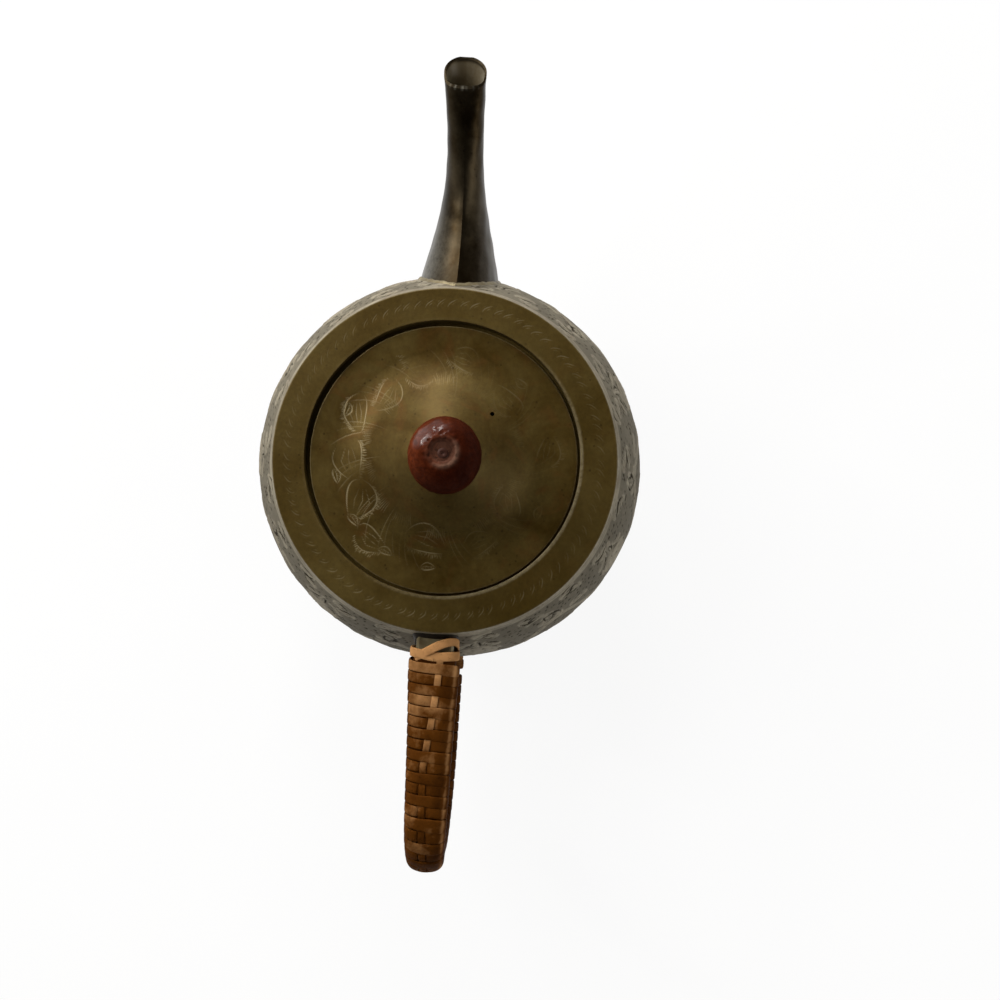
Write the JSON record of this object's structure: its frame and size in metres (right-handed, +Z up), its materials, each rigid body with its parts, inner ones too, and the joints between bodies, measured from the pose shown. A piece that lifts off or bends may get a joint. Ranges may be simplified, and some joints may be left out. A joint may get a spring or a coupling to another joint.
{
  "type": "teapot",
  "caption": "Antique metal teapot with lift-off engraved lid, red bead knob, S-shaped spout and cane-wrapped side handle.",
  "frame": {"origin": "on the pot's axis, at the middle of the flat base it stands on", "axes": "+X towards the spout, -X towards the handle, +Z up along the pot's axis"},
  "size_m": [0.1919, 0.0986, 0.0921],
  "materials": {
    "body_metal": "worn, chased, grey-brown patina",
    "top_metal": "olive-brown patina, engraved",
    "spout_metal": "dark brown patina, smooth",
    "handle_metal": "dull grey-green patina",
    "pin_metal": "worn",
    "bead": "dark red, glossy, pitted",
    "cane": "split cane, tan to brown, satin"
  },
  "bodies": {
    "pot": {"belly_shell": "body_metal", "foot_ring": "body_metal", "base_plate": "body_metal", "shoulder_plate": "top_metal", "lid_seat": "top_metal", "spout_left_half": "spout_metal", "spout_right_half": "spout_metal", "handle_core": "handle_metal", "handle_root_upper": "handle_metal", "handle_root_lower": "handle_metal", "cane_rib": "cane", "cane_tie_upper": "cane", "cane_tie_lower": "cane", "cane_wrap_upper": "cane", "cane_wrap_bend": "cane", "cane_wrap_lower": "cane"},
    "lid": {"lid_dome": "top_metal", "lid_flange": "top_metal", "knob_washer": "pin_metal", "knob_pin": "pin_metal", "knob_burr": "pin_metal"},
    "bead": {"knob_bead": "bead"}
  },
  "joints": [
    {"name": "lid_lift", "type": "slide", "parent": "pot", "child": "lid", "axis": [0, 0, 1], "range_m": [0, 0.04]},
    {"name": "bead_turn", "type": "hinge", "parent": "lid", "child": "bead", "pos_m": [-0.00025, -0.00105, 0.084], "axis": [0, 0, 1], "continuous": true}
  ]
}
